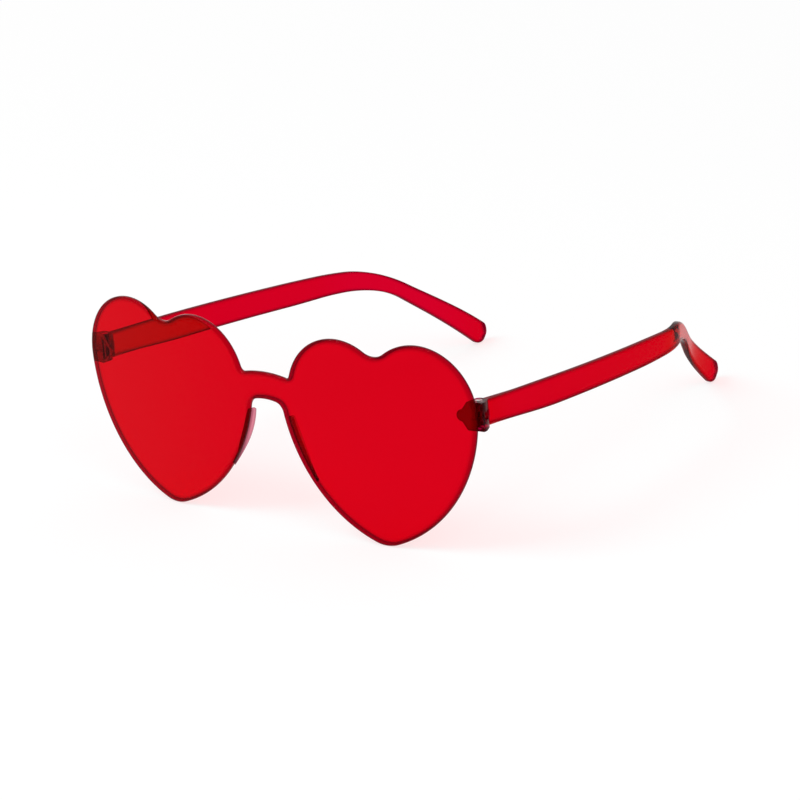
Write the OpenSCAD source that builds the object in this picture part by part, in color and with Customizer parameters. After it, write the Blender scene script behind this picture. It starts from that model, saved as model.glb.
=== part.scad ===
// Heart shaped rimless sunglasses, one piece front with folding arms.
// Every piece is drawn with the front upright: X runs to the wearer's left, Y to the back,
// Z up, with the midline at X = 0, the front face of the bridge at Y = 0 and the heart tips
// at Z = 0. At the end all pieces lean back together until the heart tips and the arm tips
// stand on one level.

/* [Front] */
// Width across both hearts
front_w = 144; // [134:1:156]
// Narrowest gap between the hearts, where the nose goes
nose_gap = 17; // [14:0.5:20]
// Thickness of the clear sheet
sheet_t = 1.8; // [1.4:0.1:2.4]
// Radius of the wrap around the face, on the front face
wrap_r = 528; // [380:4:900]

/* [Hearts] */
// Height of a heart from tip to top
heart_h = 58.2; // [54:0.2:63]
// Radius of the outer lobe
outer_lobe_r = 18.2; // [16:0.2:19.6]
// Radius of the inner lobe
inner_lobe_r = 18; // [16.6:0.2:19.6]
// How far the inner lobe's top lies below the outer lobe's
lobe_drop = 1.3; // [0:0.1:2.6]
// Radius of the rounded point
tip_r = 11.4; // [7:0.1:14]
// How far the point sits inward of the heart's middle
tip_inset = 0.6; // [0:0.1:2]
// Radius of the outer side, from the lobe to the point
outer_flank_r = 43.4; // [40:0.2:60]
// Radius of the inner side, from the lobe to the point
inner_flank_r = 38.2; // [36:0.2:50]
// Radius of the valley between the lobes
cleft_r = 6.8; // [4:0.1:10]

/* [Bridge] */
// How far the bridge's top lies below the heart's top
bridge_drop = 14; // [12:0.5:16]
// Height of the bridge at the midline
bridge_h = 7; // [5.5:0.5:9]
// Radius of the bridge's slightly arched top edge
crown_r = 40; // [30:1:80]
// Radius where the bridge's top edge runs into the lobes
bridge_fillet_r = 1.5; // [0.8:0.1:3]

/* [Nose pads] */
// Thickness of a pad
pad_t = 1.2; // [1:0.1:1.8]
// How far a pad reaches behind the sheet
pad_depth = 3; // [2.4:0.1:4]
// Height of a pad from end to end
pad_h = 17.5; // [14:0.5:20]
// Height of the pad's middle above the heart's point
pad_z = 23.5; // [21:0.5:25]
// Height of the pad's deepest point above its middle
pad_peak = 3.5; // [1:0.5:5]
// Distance from the heart's edge to the pad
pad_inset = 0; // [0:0.1:0.8]
// Angle by which a pad opens towards the face
pad_flare = 0; // [-6:1:10]

/* [End blocks] */
// Height of an end block
block_h = 8; // [7.6:0.1:9]
// Depth of a block at the hinge axis, from the sheet to the seam
block_depth = 4.5; // [4.2:0.1:5.6]
// How far a block stands out past the edge of the sheet
block_overhang = 1.3; // [0.6:0.1:2]
// How far a block's foot reaches inward of the edge of the sheet
foot_reach = 7; // [6:0.1:9]
// Height of the foot's rounded inner end
foot_end_h = 3.4; // [2:0.1:4.6]
// Thickness of the foot at its inner end
foot_t = 1.2; // [0.8:0.1:1.5]

/* [Hinge] */
// Radius of the knuckles
knuckle_r = 1.6; // [1.5:0.05:1.75]
// Height of the slot between a block's two ears
slot_h = 2.5; // [2:0.1:3]
// Radius of the hinge screw's shank
screw_r = 0.6; // [0.5:0.05:0.7]
// Radius of the screw's head
head_r = 1.1; // [0.95:0.05:1.2]
// Height of the screw's head
head_h = 0.5; // [0.4:0.05:0.8]
// Gap around the shank, and above and below the tongue
hinge_fit = 0.05; // [0.03:0.01:0.08]
// Gap at the seam between a block and an arm
seam_gap = 0.05; // [0.03:0.01:0.1]

/* [Arms] */
// Height of an arm at the hinge
arm_h = 7.2; // [6.8:0.1:7.8]
// Height of an arm where it starts to bend
arm_bend_h = 5.8; // [5.4:0.1:6.8]
// Height of the neck behind the bend
arm_neck_h = 4.4; // [3.8:0.1:5.4]
// Thickness of an arm at the hinge
arm_front_t = 3.4; // [3.2:0.1:4]
// Thickness of an arm along its length
arm_t = 2.5; // [2:0.1:2.8]
// Length over which the thickness at the hinge runs out
arm_taper_l = 12; // [8:0.5:18]
// Distance of the arm's outer face inward of the sheet's edge
arm_inset = 0.2; // [0.1:0.1:0.8]
// Straight part of an arm, seen from above
arm_straight = 17; // [12:1:24]
// Length from the seam to the bend over the ear
arm_l = 92; // [86:0.5:98]
// Angle by which an arm slopes down from the hinge
arm_slope = 2.4; // [0:0.2:4]
// Radius of the bend over the ear
bend_r = 28; // [20:1:36]
// Angle of the bend over the ear
bend_a = 36; // [26:0.5:40]
// Length of the tip behind the bend
tip_l = 28.5; // [24:0.5:36]
// Width of the tip's rounded end
tip_w = 6.2; // [5.4:0.1:7.6]
// Length over which the arm curves slightly inward
bow_l = 66; // [60:1:70]
// Radius of the slight inward curve along the arm
bow_r = 440; // [360:10:600]
// Radius of the tighter inward curve near the bend
hook_r = 32; // [26:2:50]
// Angle of the tighter inward curve
hook_a = 22.5; // [18:0.5:26]
// Distance before the tip's end at which the arm starts to curve out again
flare_l = 21; // [16:1:24]
// Radius of that outward curve
flare_r = 42; // [36:2:64]

/* [Hidden] */

// One overrun for all cuts
over = 1;
// Segments of the wrap, of the long curves and of the small rounds in the quick view
wrap_fn = 1440;
long_fn = 360;
small_fn = 96;
// How far a chord may lie inside its arc where an outline is drawn point by point
chord_gap = 0.015;

// Point at distance d1 from c1 and d2 from c2, on the left of the way from c1 to c2
function meet(c1, d1, c2, d2) =
    let (
        gap = norm(c2 - c1),
        along = (c2 - c1) / gap,
        a = (d1 * d1 - d2 * d2 + gap * gap) / (2 * gap)
    )
    c1 + a * along + sqrt(d1 * d1 - a * a) * [-along[1], along[0]];
function mirrored(path) = [for (i = [len(path) - 1:-1:0]) [-path[i][0], path[i][1]]];
// Direction from p to q
function bearing(p, q) = atan2(q[1] - p[1], q[0] - p[0]);
// Points of an arc from direction a to direction b, without its last point
function arc(c, r, a, b) =
    let (n = ceil(abs(b - a) / (2 * acos(1 - chord_gap / r))))
    [for (i = [0:n - 1]) c + r * [cos(a + (b - a) * i / n), sin(a + (b - a) * i / n)]];
// The same, turning clockwise for an outer curve or the other way for a hollow one
function clockwise(c, r, a, b) = arc(c, r, a, b > a ? b - 360 : b);
function hollow(c, r, a, b) = arc(c, r, a, b < a ? b + 360 : b);

// Centres of the six arcs of the left heart, in X and Z
heart_w = (front_w - nose_gap) / 2;
outer_c = [front_w / 2 - outer_lobe_r, heart_h - outer_lobe_r];
inner_c = [nose_gap / 2 + inner_lobe_r, heart_h - lobe_drop - inner_lobe_r];
point_c = [nose_gap / 2 + heart_w / 2 - tip_inset, tip_r];
outer_flank_c = meet(point_c, outer_flank_r - tip_r, outer_c, outer_flank_r - outer_lobe_r);
inner_flank_c = meet(inner_c, inner_flank_r - inner_lobe_r, point_c, inner_flank_r - tip_r);
cleft_c = meet(inner_c, inner_lobe_r + cleft_r, outer_c, outer_lobe_r + cleft_r);

// Bridge: a crowned top edge and an arch below that runs tangent into both inner sides
bridge_top = heart_h - bridge_drop;
arch_top = bridge_top - bridge_h;
arch_rise = inner_flank_c[1] - arch_top;
arch_r = (pow(inner_flank_c[0], 2) + pow(arch_rise, 2) - pow(inner_flank_r, 2))
    / (2 * (inner_flank_r - arch_rise));
arch_c = [0, arch_top - arch_r];
crown_c = [0, bridge_top - crown_r];
fillet_c = meet(crown_c, crown_r + bridge_fillet_r, inner_c, inner_lobe_r + bridge_fillet_r);

// Depth of the sheet's back face at a distance x from the midline
function back_y(x) = wrap_r - sqrt(pow(wrap_r - sheet_t, 2) - x * x);

// Hinge: axis, seam and the faces that meet there
hinge_z = outer_c[1];
out_x = front_w / 2 - arm_inset;
in_x = out_x - arm_front_t;
axis_x = in_x + knuckle_r;
seam_y = back_y(axis_x) + block_depth;
axis_y = seam_y - knuckle_r;
over_x = front_w / 2 + block_overhang;
foot_x = front_w / 2 - foot_reach;
// Room that the folding arm needs between the ears and the foot
swing_gap = 0.25;
// Thickness of the bond between the sheet and what is fixed behind it
bond_gap = 0.02;
// Gap between the tongue and the slot's front wall
slot_gap = 0.1;
slot_y = axis_y - knuckle_r - slot_gap;
root_y = seam_y + seam_gap;

// Screw
counterbore_h = head_h + hinge_fit;
driver_slot_w = head_r / 3;
driver_slot_h = head_h / 2;
screw_end_gap = screw_r / 2;

// Arm seen from the side: a sloping bar, the bend over the ear and the rounded tip
bend_y = root_y + arm_l;
bar_dir = [cos(arm_slope), -sin(arm_slope)];
bend_start = [bend_y, hinge_z - arm_l * tan(arm_slope)];
bend_c = bend_start - bend_r * [sin(arm_slope), cos(arm_slope)];
tip_a = arm_slope + bend_a;
bend_end = bend_c + bend_r * [sin(tip_a), cos(tip_a)];
tip_c = bend_end + tip_l * [cos(tip_a), -sin(tip_a)];

// Arm seen from above: straight, a slight bow inward, a tighter hook, straight again, and an
// outward curve that brings the tip's broad side back into line
arm_mid_x = out_x - arm_t / 2;
bow_y = root_y + arm_straight;
bow_c = [arm_mid_x - bow_r, bow_y];
bow_end_y = bow_y + bow_l;
bow_a = asin((bow_end_y - bow_y) / bow_r);
bow_end = bow_c + bow_r * [cos(bow_a), sin(bow_a)];
hook_c = bow_end - hook_r * [cos(bow_a), sin(bow_a)];
end_a = bow_a + hook_a;
hook_end = hook_c + hook_r * [cos(end_a), sin(end_a)];
flare_y = tip_c[0] + tip_w / 2 - flare_l;
flare_start = hook_end + (flare_y - hook_end[1]) * [-tan(end_a), 1];
flare_c = flare_start + flare_r * [cos(end_a), sin(end_a)];
last_a = asin(sin(end_a) - (flare_l + tip_w / 2) / flare_r);
flare_end = flare_c - flare_r * [cos(last_a), sin(last_a)];

// Upper or lower edge of an arm at a share of the bend, easing from full height to the neck
bend_steps = 24;
function bend_edge(share, up) =
    let (
        a = arm_slope + bend_a * share,
        ease = (1 - cos(180 * share)) / 2,
        half_h = (arm_bend_h + (arm_neck_h - arm_bend_h) * ease) / 2
    )
    bend_c + (bend_r + up * half_h) * [sin(a), cos(a)];

// Lean that brings the heart points and the arm tips down to one level
stand_y = back_y(point_c[0]);
lean = acos(tip_w / 2 / norm([tip_c[1], tip_c[0] - stand_y]))
    - atan2(tip_c[0] - stand_y, tip_c[1]);
stand_z = -stand_y * sin(lean);
front_y = (stand_y - sheet_t) * cos(lean);
rear_y = tip_c[0] * cos(lean) + tip_c[1] * sin(lean) + tip_w / 2;

// Leans the upright drawing back and stands it centred on the origin
module standing() {
    translate([0, -(front_y + rear_y) / 2, -stand_z])
        rotate([-lean, 0, 0])
            children();
}

// The wearer's left side as drawn, or its mirror image for the right side
module side(right) {
    if (right) {
        mirror([1, 0, 0])
            children();
    } else {
        children();
    }
}

// Turns an outline drawn in X and Z into a body that runs back from y0 to y1
module run_back(y0, y1) {
    translate([0, y1, 0])
        rotate([90, 0, 0])
            linear_extrude(height = y1 - y0)
                children();
}

// Turns an outline drawn in Y and Z into a body that runs across from x0 to x1
module run_across(x0, x1) {
    translate([x0, 0, 0])
        rotate([90, 0, 90])
            linear_extrude(height = x1 - x0)
                children();
}

// Outline of the left half of the front, from the top of the bridge over the lobes and
// down to the heart's point, then up the inner side to the top of the arch. Each arc runs
// tangent into the next.
half_front = concat(
    clockwise(crown_c, crown_r, 90, bearing(crown_c, fillet_c)),
    hollow(fillet_c, bridge_fillet_r, bearing(fillet_c, crown_c), bearing(fillet_c, inner_c)),
    clockwise(inner_c, inner_lobe_r, bearing(inner_c, fillet_c), bearing(inner_c, cleft_c)),
    hollow(cleft_c, cleft_r, bearing(cleft_c, inner_c), bearing(cleft_c, outer_c)),
    clockwise(outer_c, outer_lobe_r, bearing(outer_c, cleft_c),
        bearing(outer_flank_c, outer_c)),
    clockwise(outer_flank_c, outer_flank_r, bearing(outer_flank_c, outer_c),
        bearing(outer_flank_c, point_c)),
    clockwise(point_c, tip_r, bearing(outer_flank_c, point_c),
        bearing(inner_flank_c, point_c)),
    clockwise(inner_flank_c, inner_flank_r, bearing(inner_flank_c, point_c),
        bearing(inner_flank_c, arch_c)),
    hollow(arch_c, arch_r, bearing(arch_c, inner_flank_c), 90),
    [[0, arch_top]]
);
// The same without its two points on the midline
inner_points = [for (i = [1:len(half_front) - 2]) half_front[i]];

// One curved sheet cut to both hearts and the bridge
module front_sheet() {
    intersection() {
        translate([0, wrap_r, 0])
            difference() {
                translate([0, 0, -over])
                    cylinder(r = wrap_r, h = heart_h + 2 * over, $fn = wrap_fn);
                translate([0, 0, -2 * over])
                    cylinder(r = wrap_r - sheet_t, h = heart_h + 4 * over, $fn = wrap_fn);
            }
        run_back(-over, back_y(front_w / 2) + over)
            polygon(concat(half_front, mirrored(inner_points)));
    }
}

// Pad: a thin fin along the heart's inner side, bonded to the back of the sheet, deepest
// near its blunt upper end and running out at the lower end
module pad() {
    pad_outer_r = inner_flank_r - pad_inset;
    rise = pad_h / 2;
    // The flank's distance from the midline at a height z
    function fin_x(z) = inner_flank_c[0] - sqrt(pow(pad_outer_r, 2) - pow(inner_flank_c[1] - z, 2));
    near_x = fin_x(pad_z + rise);
    mid_x = fin_x(pad_z);
    far_x = fin_x(pad_z - rise) + 2 * pad_t;
    root = back_y(mid_x);
    bond_y = [back_y(near_x), back_y(far_x)] + bond_gap * [1, 1];
    // Radius of the pad's back edge, seen from the side
    edge_r = (pow(rise + pad_peak, 2) + pad_depth * pad_depth) / (2 * pad_depth);
    intersection() {
        translate([mid_x, root, 0])
            rotate([0, 0, -pad_flare])
                translate([-mid_x, -root, 0])
                    run_back(root - sheet_t, root + pad_depth + over)
                        difference() {
                            translate(inner_flank_c)
                                circle(r = pad_outer_r, $fn = long_fn);
                            translate(inner_flank_c)
                                circle(r = pad_outer_r - pad_t, $fn = long_fn);
                        }
        run_across(0, inner_flank_c[0])
            translate([root + pad_depth - edge_r, pad_z + pad_peak])
                circle(r = edge_r, $fn = long_fn);
        translate([0, 0, pad_z - pad_h])
            linear_extrude(height = pad_h + rise)
                polygon([
                    [near_x - pad_t, bond_y[0]],
                    [far_x, bond_y[1]],
                    [far_x, bond_y[1] + 2 * pad_depth],
                    [near_x - pad_t, bond_y[1] + 2 * pad_depth]
                ]);
    }
}

// Outline of the two ears and the foot, seen from above
module block_plan() {
    polygon(concat(
        [
            [foot_x, back_y(foot_x) + bond_gap],
            [foot_x, back_y(foot_x) + foot_t],
            [in_x, axis_y - knuckle_r - swing_gap]
        ],
        clockwise([axis_x, axis_y], knuckle_r, 180, 90),
        [
            [axis_x, seam_y],
            [out_x, seam_y],
            [over_x, back_y(over_x) + foot_t],
            [over_x, back_y(over_x) + bond_gap]
        ]
    ));
}

// Outline of a block, seen from the front: a rounded foot that widens to the full height
module block_front() {
    end_r = foot_end_h / 2;
    polygon(concat(
        [
            [in_x, hinge_z + block_h / 2],
            [over_x, hinge_z + block_h / 2],
            [over_x, hinge_z - block_h / 2],
            [in_x, hinge_z - block_h / 2]
        ],
        clockwise([foot_x + end_r, hinge_z], end_r, -90, 90),
        [[foot_x + end_r, hinge_z + end_r]]
    ));
}

// Block bonded behind the sheet's outer edge, with an ear above and below the arm's tongue
module block() {
    difference() {
        intersection() {
            translate([0, 0, hinge_z - block_h / 2])
                linear_extrude(height = block_h)
                    block_plan();
            run_back(0, seam_y + over)
                block_front();
        }
        translate([in_x - over, slot_y, hinge_z - slot_h / 2])
            cube([over_x - in_x + 2 * over, seam_y - slot_y + over, slot_h]);
        translate([axis_x, axis_y, hinge_z - block_h / 2 - over])
            cylinder(r = screw_r + hinge_fit, h = block_h + 2 * over, $fn = small_fn);
        translate([axis_x, axis_y, hinge_z + block_h / 2 - counterbore_h])
            cylinder(r = head_r + hinge_fit, h = counterbore_h + over, $fn = small_fn);
    }
}

// Hinge screw with a slotted head, sunk in the upper ear
module screw() {
    shank_h = block_h - counterbore_h - screw_end_gap;
    translate([axis_x, axis_y, hinge_z + block_h / 2 - counterbore_h]) {
        difference() {
            cylinder(r = head_r, h = head_h, $fn = small_fn);
            translate([-head_r - over, -driver_slot_w / 2, head_h - driver_slot_h])
                cube([2 * (head_r + over), driver_slot_w, driver_slot_h + over]);
        }
        translate([0, 0, -shank_h])
            cylinder(r = screw_r, h = shank_h, $fn = small_fn);
    }
}

// Outline of an arm from the side, from the seam over the bend to the rounded tip and back
module arm_side() {
    polygon(concat(
        [[root_y, hinge_z - arm_h / 2], [root_y, hinge_z + arm_h / 2]],
        [for (i = [0:bend_steps]) bend_edge(i / bend_steps, 1)],
        clockwise(tip_c, tip_w / 2, 90 - tip_a, -90 - tip_a),
        [for (i = [bend_steps:-1:0]) bend_edge(i / bend_steps, -1)]
    ));
}

// Outline of an arm from above, thick at the hinge and curving in behind the ear
module arm_plan() {
    half_t = arm_t / 2;
    out = [cos(last_a), sin(last_a)];
    polygon(concat(
        [[in_x, root_y], [out_x, root_y]],
        arc(bow_c, bow_r + half_t, 0, bow_a),
        arc(hook_c, hook_r + half_t, bow_a, end_a),
        [hook_c + (hook_r + half_t) * [cos(end_a), sin(end_a)]],
        arc(flare_c, flare_r - half_t, end_a + 180, last_a + 180),
        [flare_end + half_t * out, flare_end - half_t * out],
        arc(flare_c, flare_r + half_t, last_a + 180, end_a + 180),
        [flare_c - (flare_r + half_t) * [cos(end_a), sin(end_a)]],
        arc(hook_c, hook_r - half_t, end_a, bow_a),
        arc(bow_c, bow_r - half_t, bow_a, 0),
        [[out_x - arm_t, bow_y], [out_x - arm_t, root_y + arm_taper_l]]
    ));
}

// Outline of the tongue from above: square on the outer side, round on the inner side
module tongue_plan() {
    polygon(concat(
        hollow([axis_x, axis_y], knuckle_r, 180, 270),
        [
            [axis_x, axis_y - knuckle_r],
            [out_x, axis_y - knuckle_r],
            [out_x, root_y + over],
            [in_x, root_y + over]
        ]
    ));
}

// Arm moulded in one piece with the tongue that turns between the ears
module arm() {
    tongue_h = slot_h - 2 * hinge_fit;
    low = tip_c[1] - tip_w;
    difference() {
        union() {
            intersection() {
                run_across(0, out_x + over)
                    arm_side();
                translate([0, 0, low])
                    linear_extrude(height = hinge_z + arm_h - low)
                        arm_plan();
            }
            translate([0, 0, hinge_z - tongue_h / 2])
                linear_extrude(height = tongue_h)
                    tongue_plan();
        }
        translate([axis_x, axis_y, hinge_z - slot_h])
            cylinder(r = screw_r + hinge_fit, h = 2 * slot_h, $fn = small_fn);
    }
}

module front_shield() {
    color([0.84, 0.01, 0.11])
        standing()
            front_sheet();
}

module nose_pad(right) {
    color([0.72, 0.05, 0.12])
        standing()
            side(right)
                pad();
}

module end_block(right) {
    color([0.42, 0, 0.1])
        standing()
            side(right)
                block();
}

module hinge_screw(right) {
    color([0.62, 0.6, 0.6])
        standing()
            side(right)
                screw();
}

module temple(right) {
    color([0.8, 0.04, 0.16])
        standing()
            side(right)
                arm();
}

front_shield();
nose_pad(false);  // nose_pad_left
nose_pad(true);  // nose_pad_right
end_block(false);  // end_block_left
end_block(true);  // end_block_right
hinge_screw(false);  // hinge_screw_left
hinge_screw(true);  // hinge_screw_right
temple(false);  // temple_left
temple(true);  // temple_right
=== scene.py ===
"""Heart shaped sunglasses: clear red sheet, bonded fins and hinge blocks, folding clear red arms.

Sizes are in millimetres in the upright drawing: X runs to the wearer's left, Y to the back and
Z up, with the front face of the bridge at Y = 0 and the heart points at Z = 0. Stand carries
every point over into the shared frame, in metres, where the sunglasses lean back and rest on
both heart points and both arm tips.
"""

import logging
from dataclasses import dataclass, field
from enum import Enum

import bpy
import bmesh
import numpy as np
from mathutils import Matrix

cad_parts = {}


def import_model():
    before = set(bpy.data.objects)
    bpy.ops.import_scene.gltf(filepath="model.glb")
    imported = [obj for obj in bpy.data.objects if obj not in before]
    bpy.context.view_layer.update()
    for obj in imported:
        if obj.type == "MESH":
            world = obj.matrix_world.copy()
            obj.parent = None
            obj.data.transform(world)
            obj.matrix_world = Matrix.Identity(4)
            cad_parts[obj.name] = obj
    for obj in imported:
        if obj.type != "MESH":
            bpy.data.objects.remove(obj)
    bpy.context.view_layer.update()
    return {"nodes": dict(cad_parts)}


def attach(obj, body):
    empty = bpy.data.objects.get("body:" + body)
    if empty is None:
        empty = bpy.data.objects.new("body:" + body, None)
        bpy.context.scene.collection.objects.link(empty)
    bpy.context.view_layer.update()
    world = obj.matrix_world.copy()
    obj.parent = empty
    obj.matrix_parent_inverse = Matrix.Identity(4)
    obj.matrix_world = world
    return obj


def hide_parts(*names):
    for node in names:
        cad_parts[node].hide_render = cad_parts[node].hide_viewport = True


LOG = logging.getLogger("sunglasses")
MM = 0.001
TURN = 2.0 * np.pi
# Greatest distance between an arc's points, in millimetres, and the fewest points on an arc
ARC_STEP = 0.12
ARC_POINTS = 24
# Points nearer to each other than this are merged, in metres
WELD = 1e-6


class Side(Enum):
    """The wearer's side that a piece is on; its value is the sign of X there."""

    LEFT = 1
    RIGHT = -1

    @property
    def word(self) -> str:
        """The side's name as the nodes write it."""
        return self.name.lower()


# Plane geometry


def meet(c1: np.ndarray, d1: float, c2: np.ndarray, d2: float) -> np.ndarray:
    """Point at distance d1 from c1 and d2 from c2, on the left of the way from c1 to c2.

    Args:
        c1: First centre.
        d1: Distance from it.
        c2: Second centre.
        d2: Distance from that.

    Returns:
        The crossing of the two circles that lies to the left.
    """
    way = c2 - c1
    gap = float(np.hypot(*way))
    along = way / gap
    a = (d1 * d1 - d2 * d2 + gap * gap) / (2.0 * gap)
    return c1 + a * along + np.sqrt(d1 * d1 - a * a) * np.array([-along[1], along[0]])


def bearing(p: np.ndarray, q: np.ndarray) -> float:
    """Direction from p to q, in radians."""
    return float(np.arctan2(q[1] - p[1], q[0] - p[0]))


def arc(centre: np.ndarray, radius: float, start: float, end: float, clockwise: bool) -> np.ndarray:
    """Points of an arc: the centre plus radius times the cosine and sine of evenly spaced angles.

    Args:
        centre: Centre of the arc.
        radius: Its radius.
        start: First direction.
        end: Last direction.
        clockwise: Which way it turns.

    Returns:
        An array of points, one row each.
    """
    if clockwise and end > start:
        end -= TURN
    if not clockwise and end < start:
        end += TURN
    count = max(int(abs(end - start) * radius / ARC_STEP), ARC_POINTS)
    t = np.linspace(start, end, count)
    return centre + radius * np.stack([np.cos(t), np.sin(t)], -1)


def smooth(share: np.ndarray) -> np.ndarray:
    """Eases from 0 to 1 with share: three times its square less twice its cube, held past both ends."""
    share = np.clip(share, 0.0, 1.0)
    return share**2 * (3.0 - 2.0 * share)


def evenly(path: np.ndarray, count: int) -> np.ndarray:
    """The same path with count points at equal distances along it, by linear interpolation."""
    step = np.hypot(*np.diff(path, axis=0).T)
    run = np.concatenate([[0.0], np.cumsum(step)])
    keep = np.concatenate([[True], step > 1e-9])
    want = np.linspace(0.0, run[-1], count)
    return np.stack([np.interp(want, run[keep], path[keep, i]) for i in (0, 1)], -1)


# The sizes of the sunglasses


@dataclass(frozen=True)
class FrontSizes:
    """Sizes of the curved sheet, of its two hearts and of its bridge."""

    width: float = 144.0
    nose_gap: float = 17.0
    thickness: float = 1.8
    wrap_r: float = 528.0
    heart_h: float = 58.2
    outer_r: float = 18.2
    inner_r: float = 18.0
    lobe_drop: float = 1.3
    point_r: float = 11.4
    point_inset: float = 0.6
    outer_flank_r: float = 43.4
    inner_flank_r: float = 45.0
    throat_x: float = 6.65
    throat_z: float = 32.3
    arch_r: float = 20.0
    corner_r: float = 3.2
    cleft_r: float = 6.8
    bridge_drop: float = 14.0
    bridge_h: float = 7.75
    crown_r: float = 40.0
    fillet_r: float = 1.5

    def centres(self) -> dict[str, np.ndarray]:
        """Centres of the arcs of the left heart and of the bridge, in X and Z."""
        half_gap = self.nose_gap / 2
        outer = np.array([self.width / 2 - self.outer_r, self.heart_h - self.outer_r])
        inner = np.array([half_gap + self.inner_r, self.heart_h - self.lobe_drop - self.inner_r])
        heart_w = (self.width - self.nose_gap) / 2
        point = np.array([half_gap + heart_w / 2 - self.point_inset, self.point_r])
        outer_flank = meet(
            point, self.outer_flank_r - self.point_r, outer, self.outer_flank_r - self.outer_r
        )
        throat = np.array([self.throat_x, self.throat_z])
        inner_flank = meet(throat, self.inner_flank_r, point, self.inner_flank_r - self.point_r)
        cleft = meet(inner, self.inner_r + self.cleft_r, outer, self.outer_r + self.cleft_r)
        crown = np.array([0.0, self.heart_h - self.bridge_drop - self.crown_r])
        fillet = meet(crown, self.crown_r + self.fillet_r, inner, self.inner_r + self.fillet_r)
        arch = np.array([0.0, self.arch_top - self.arch_r])
        corner = meet(
            arch, self.arch_r - self.corner_r, inner_flank, self.inner_flank_r + self.corner_r
        )
        return {
            "outer": outer, "inner": inner, "point": point, "outer_flank": outer_flank,
            "inner_flank": inner_flank, "cleft": cleft, "crown": crown, "fillet": fillet,
            "arch": arch, "corner": corner,
        }

    @property
    def arch_top(self) -> float:
        """Height of the underside of the bridge at the midline."""
        return self.heart_h - self.bridge_drop - self.bridge_h

    def depth(self, x: np.ndarray, below: np.ndarray | float = 0.0) -> np.ndarray:
        """Y of the sheet at x: wrap radius less the root of (radius - below) squared less x squared.

        Args:
            x: Distance from the midline.
            below: Distance behind the front face.

        Returns:
            Y at each x.
        """
        return self.wrap_r - np.sqrt((self.wrap_r - below) ** 2 - x**2)


@dataclass(frozen=True)
class ArmSizes:
    """Sizes of an arm and of its hinge."""

    hinge_z: float = 40.0
    block_depth: float = 4.5
    knuckle_r: float = 1.6
    slot_h: float = 2.5
    screw_r: float = 0.6
    head_r: float = 1.1
    head_h: float = 0.5
    fit: float = 0.05
    block_h: float = 8.0
    front_h: float = 7.2
    bend_h: float = 5.8
    neck_h: float = 4.4
    front_t: float = 3.4
    thickness: float = 2.5
    taper_l: float = 12.0
    inset: float = 0.2
    straight: float = 17.0
    length: float = 92.0
    slope: float = 2.4
    bend_r: float = 28.0
    bend: float = 36.0
    tip_l: float = 28.5
    tip_w: float = 6.2
    bow_l: float = 66.0
    bow_r: float = 440.0
    hook_r: float = 32.0
    hook: float = 22.5
    flare_l: float = 21.0
    flare_r: float = 42.0
    belly_in: float = 30.0
    belly_to: float = 70.0
    belly_out: float = 36.0
    belly_top: float = 0.22
    belly_low: float = 0.95
    paddle_from: float = 108.0
    paddle_in: float = 20.0
    paddle_top: float = 0.5
    edge_r: float = 0.85


FRONT = FrontSizes()
ARM = ArmSizes()


@dataclass(frozen=True)
class Hinge:
    """Place of the left hinge in the upright drawing."""

    out_x: float = FRONT.width / 2 - ARM.inset
    axis_x: float = FRONT.width / 2 - ARM.inset - ARM.front_t + ARM.knuckle_r

    @property
    def seam_y(self) -> float:
        """Y of the block's end face."""
        return float(FRONT.depth(np.array(self.axis_x), FRONT.thickness)) + ARM.block_depth

    @property
    def axis_y(self) -> float:
        """Y of the screw's axis."""
        return self.seam_y - ARM.knuckle_r

    @property
    def root_y(self) -> float:
        """Y of the arm's end face."""
        return self.seam_y + ARM.fit


HINGE = Hinge()


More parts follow.
